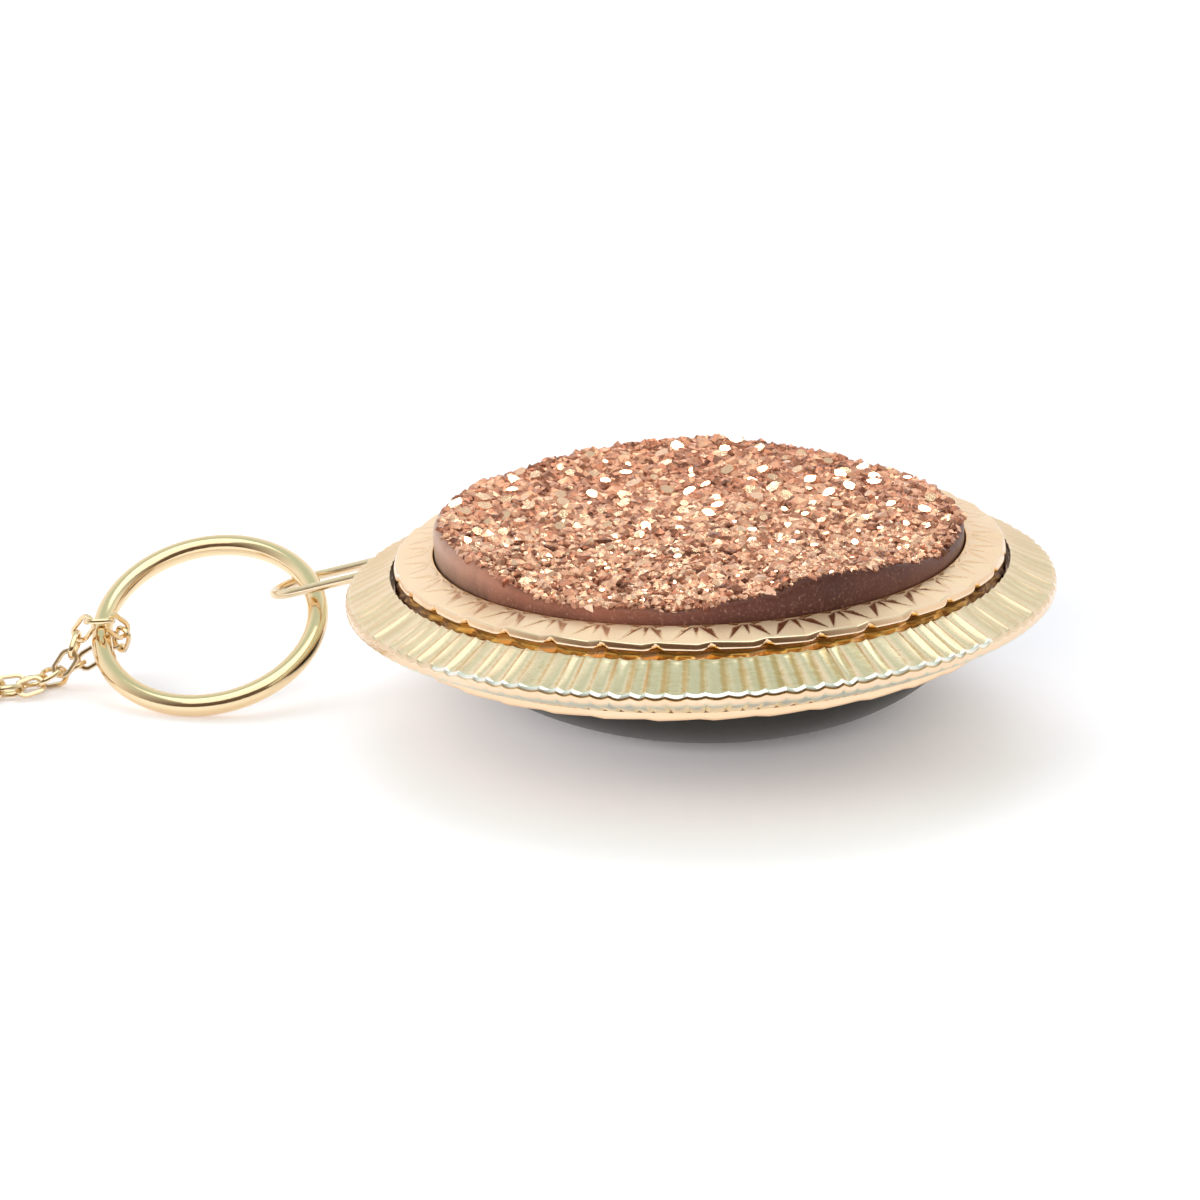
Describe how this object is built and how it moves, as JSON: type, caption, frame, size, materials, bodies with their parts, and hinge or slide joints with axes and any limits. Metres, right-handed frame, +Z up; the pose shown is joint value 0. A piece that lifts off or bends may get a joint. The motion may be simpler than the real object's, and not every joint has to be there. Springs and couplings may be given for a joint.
{
  "type": "gemstone pendant necklace",
  "caption": "Round two-stone pendant with a fluted ring, a star-cut setting, a crystal-crusted face and a domed back, lying on its closed fine chain.",
  "frame": {"origin": "the point of the surface it lies on, under the middle of the pendant", "axes": "+X along the necklace from the chain to the pendant, +Z up from the surface"},
  "size_m": [0.2056, 0.1067, 0.0115],
  "materials": {
    "pale_gold": "polished pale gold plate with diamond-cut flutes",
    "rose_gold": "polished warm gold plate with cut stars and notches",
    "druzy": "metal-coated quartz crystals, sparkling, on a satin brown side wall",
    "dark_stone": "polished dark grey stone"
  },
  "bodies": {
    "root": {"outer_ring": "pale_gold", "bezel": "rose_gold", "druzy_stone": "druzy", "back_stone": "dark_stone", "bail_ring": "pale_gold", "chain_near": "pale_gold", "chain_far": "pale_gold", "clasp": "pale_gold"}
  },
  "joints": []
}
